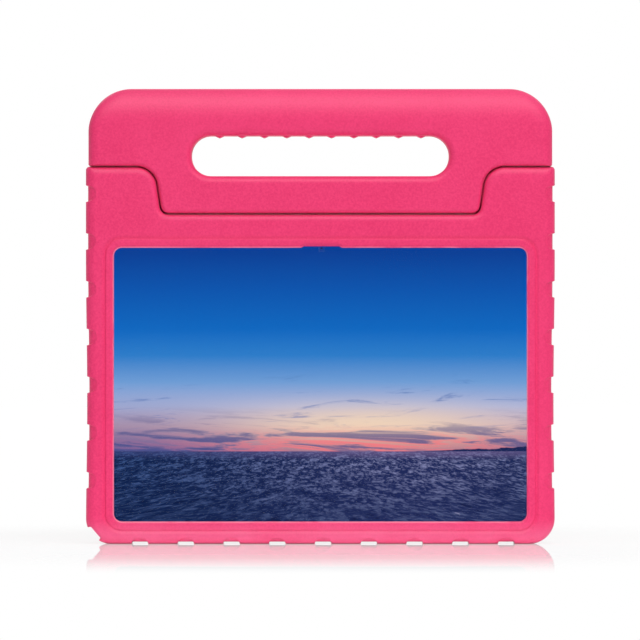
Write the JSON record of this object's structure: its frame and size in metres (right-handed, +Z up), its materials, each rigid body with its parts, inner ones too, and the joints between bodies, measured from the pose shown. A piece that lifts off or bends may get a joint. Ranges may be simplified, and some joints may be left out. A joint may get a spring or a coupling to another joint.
{
  "type": "tablet case with handle",
  "caption": "Thick foam tablet case with a carrying handle that folds back as a stand, holding a tablet behind a lipped window.",
  "frame": {"origin": "on the ground under the middle of the case, halfway between its front and back faces", "axes": "+X to the right as seen by someone looking at the screen, +Y to the back, +Z up"},
  "size_m": [0.273, 0.028, 0.265],
  "materials": {
    "foam": "matte closed-cell foam with a fine pebbled skin",
    "hinge_plastic": "satin",
    "bush_plastic": "satin",
    "housing_plastic": "satin",
    "cover_glass": "polished",
    "display": "lit panel",
    "frame_metal": "satin",
    "lens": "gloss",
    "battery_wrap": "matte wrap over the cell",
    "circuit_board": "solder mask",
    "screw_steel": "bright",
    "speaker_plastic": "matte"
  },
  "bodies": {
    "case": {"case_body": "foam", "hinge_bush_left": "bush_plastic", "hinge_bush_right": "bush_plastic", "tablet_housing": "housing_plastic", "tablet_glass": "cover_glass", "display_panel": "display", "mid_frame": "frame_metal", "front_camera": "lens", "rear_camera": "lens", "battery": "battery_wrap", "main_board": "circuit_board", "board_screw_1": "screw_steel", "board_screw_2": "screw_steel", "board_screw_3": "screw_steel", "board_screw_4": "screw_steel", "speaker_left": "speaker_plastic", "speaker_right": "speaker_plastic", "charge_port": "screw_steel", "key_strip": "circuit_board"},
    "handle": {"handle": "foam", "hinge_pin_left": "hinge_plastic", "hinge_pin_right": "hinge_plastic"},
    "power_key": {"power_button": "housing_plastic"},
    "volume_up_key": {"volume_up_button": "housing_plastic"},
    "volume_down_key": {"volume_down_button": "housing_plastic"}
  },
  "joints": [
    {"name": "handle_fold", "type": "hinge", "parent": "case", "child": "handle", "pos_m": [0, 0.006, 0.2055], "axis": [-1, 0, 0], "range_deg": [0, 120]},
    {"name": "power_press", "type": "slide", "parent": "case", "child": "power_key", "axis": [-1, 0, 0], "range_m": [0, 0.00035], "stiffness_N_per_m": 1500},
    {"name": "volume_up_press", "type": "slide", "parent": "case", "child": "volume_up_key", "axis": [-1, 0, 0], "range_m": [0, 0.00035], "stiffness_N_per_m": 1500},
    {"name": "volume_down_press", "type": "slide", "parent": "case", "child": "volume_down_key", "axis": [-1, 0, 0], "range_m": [0, 0.00035], "stiffness_N_per_m": 1500}
  ]
}
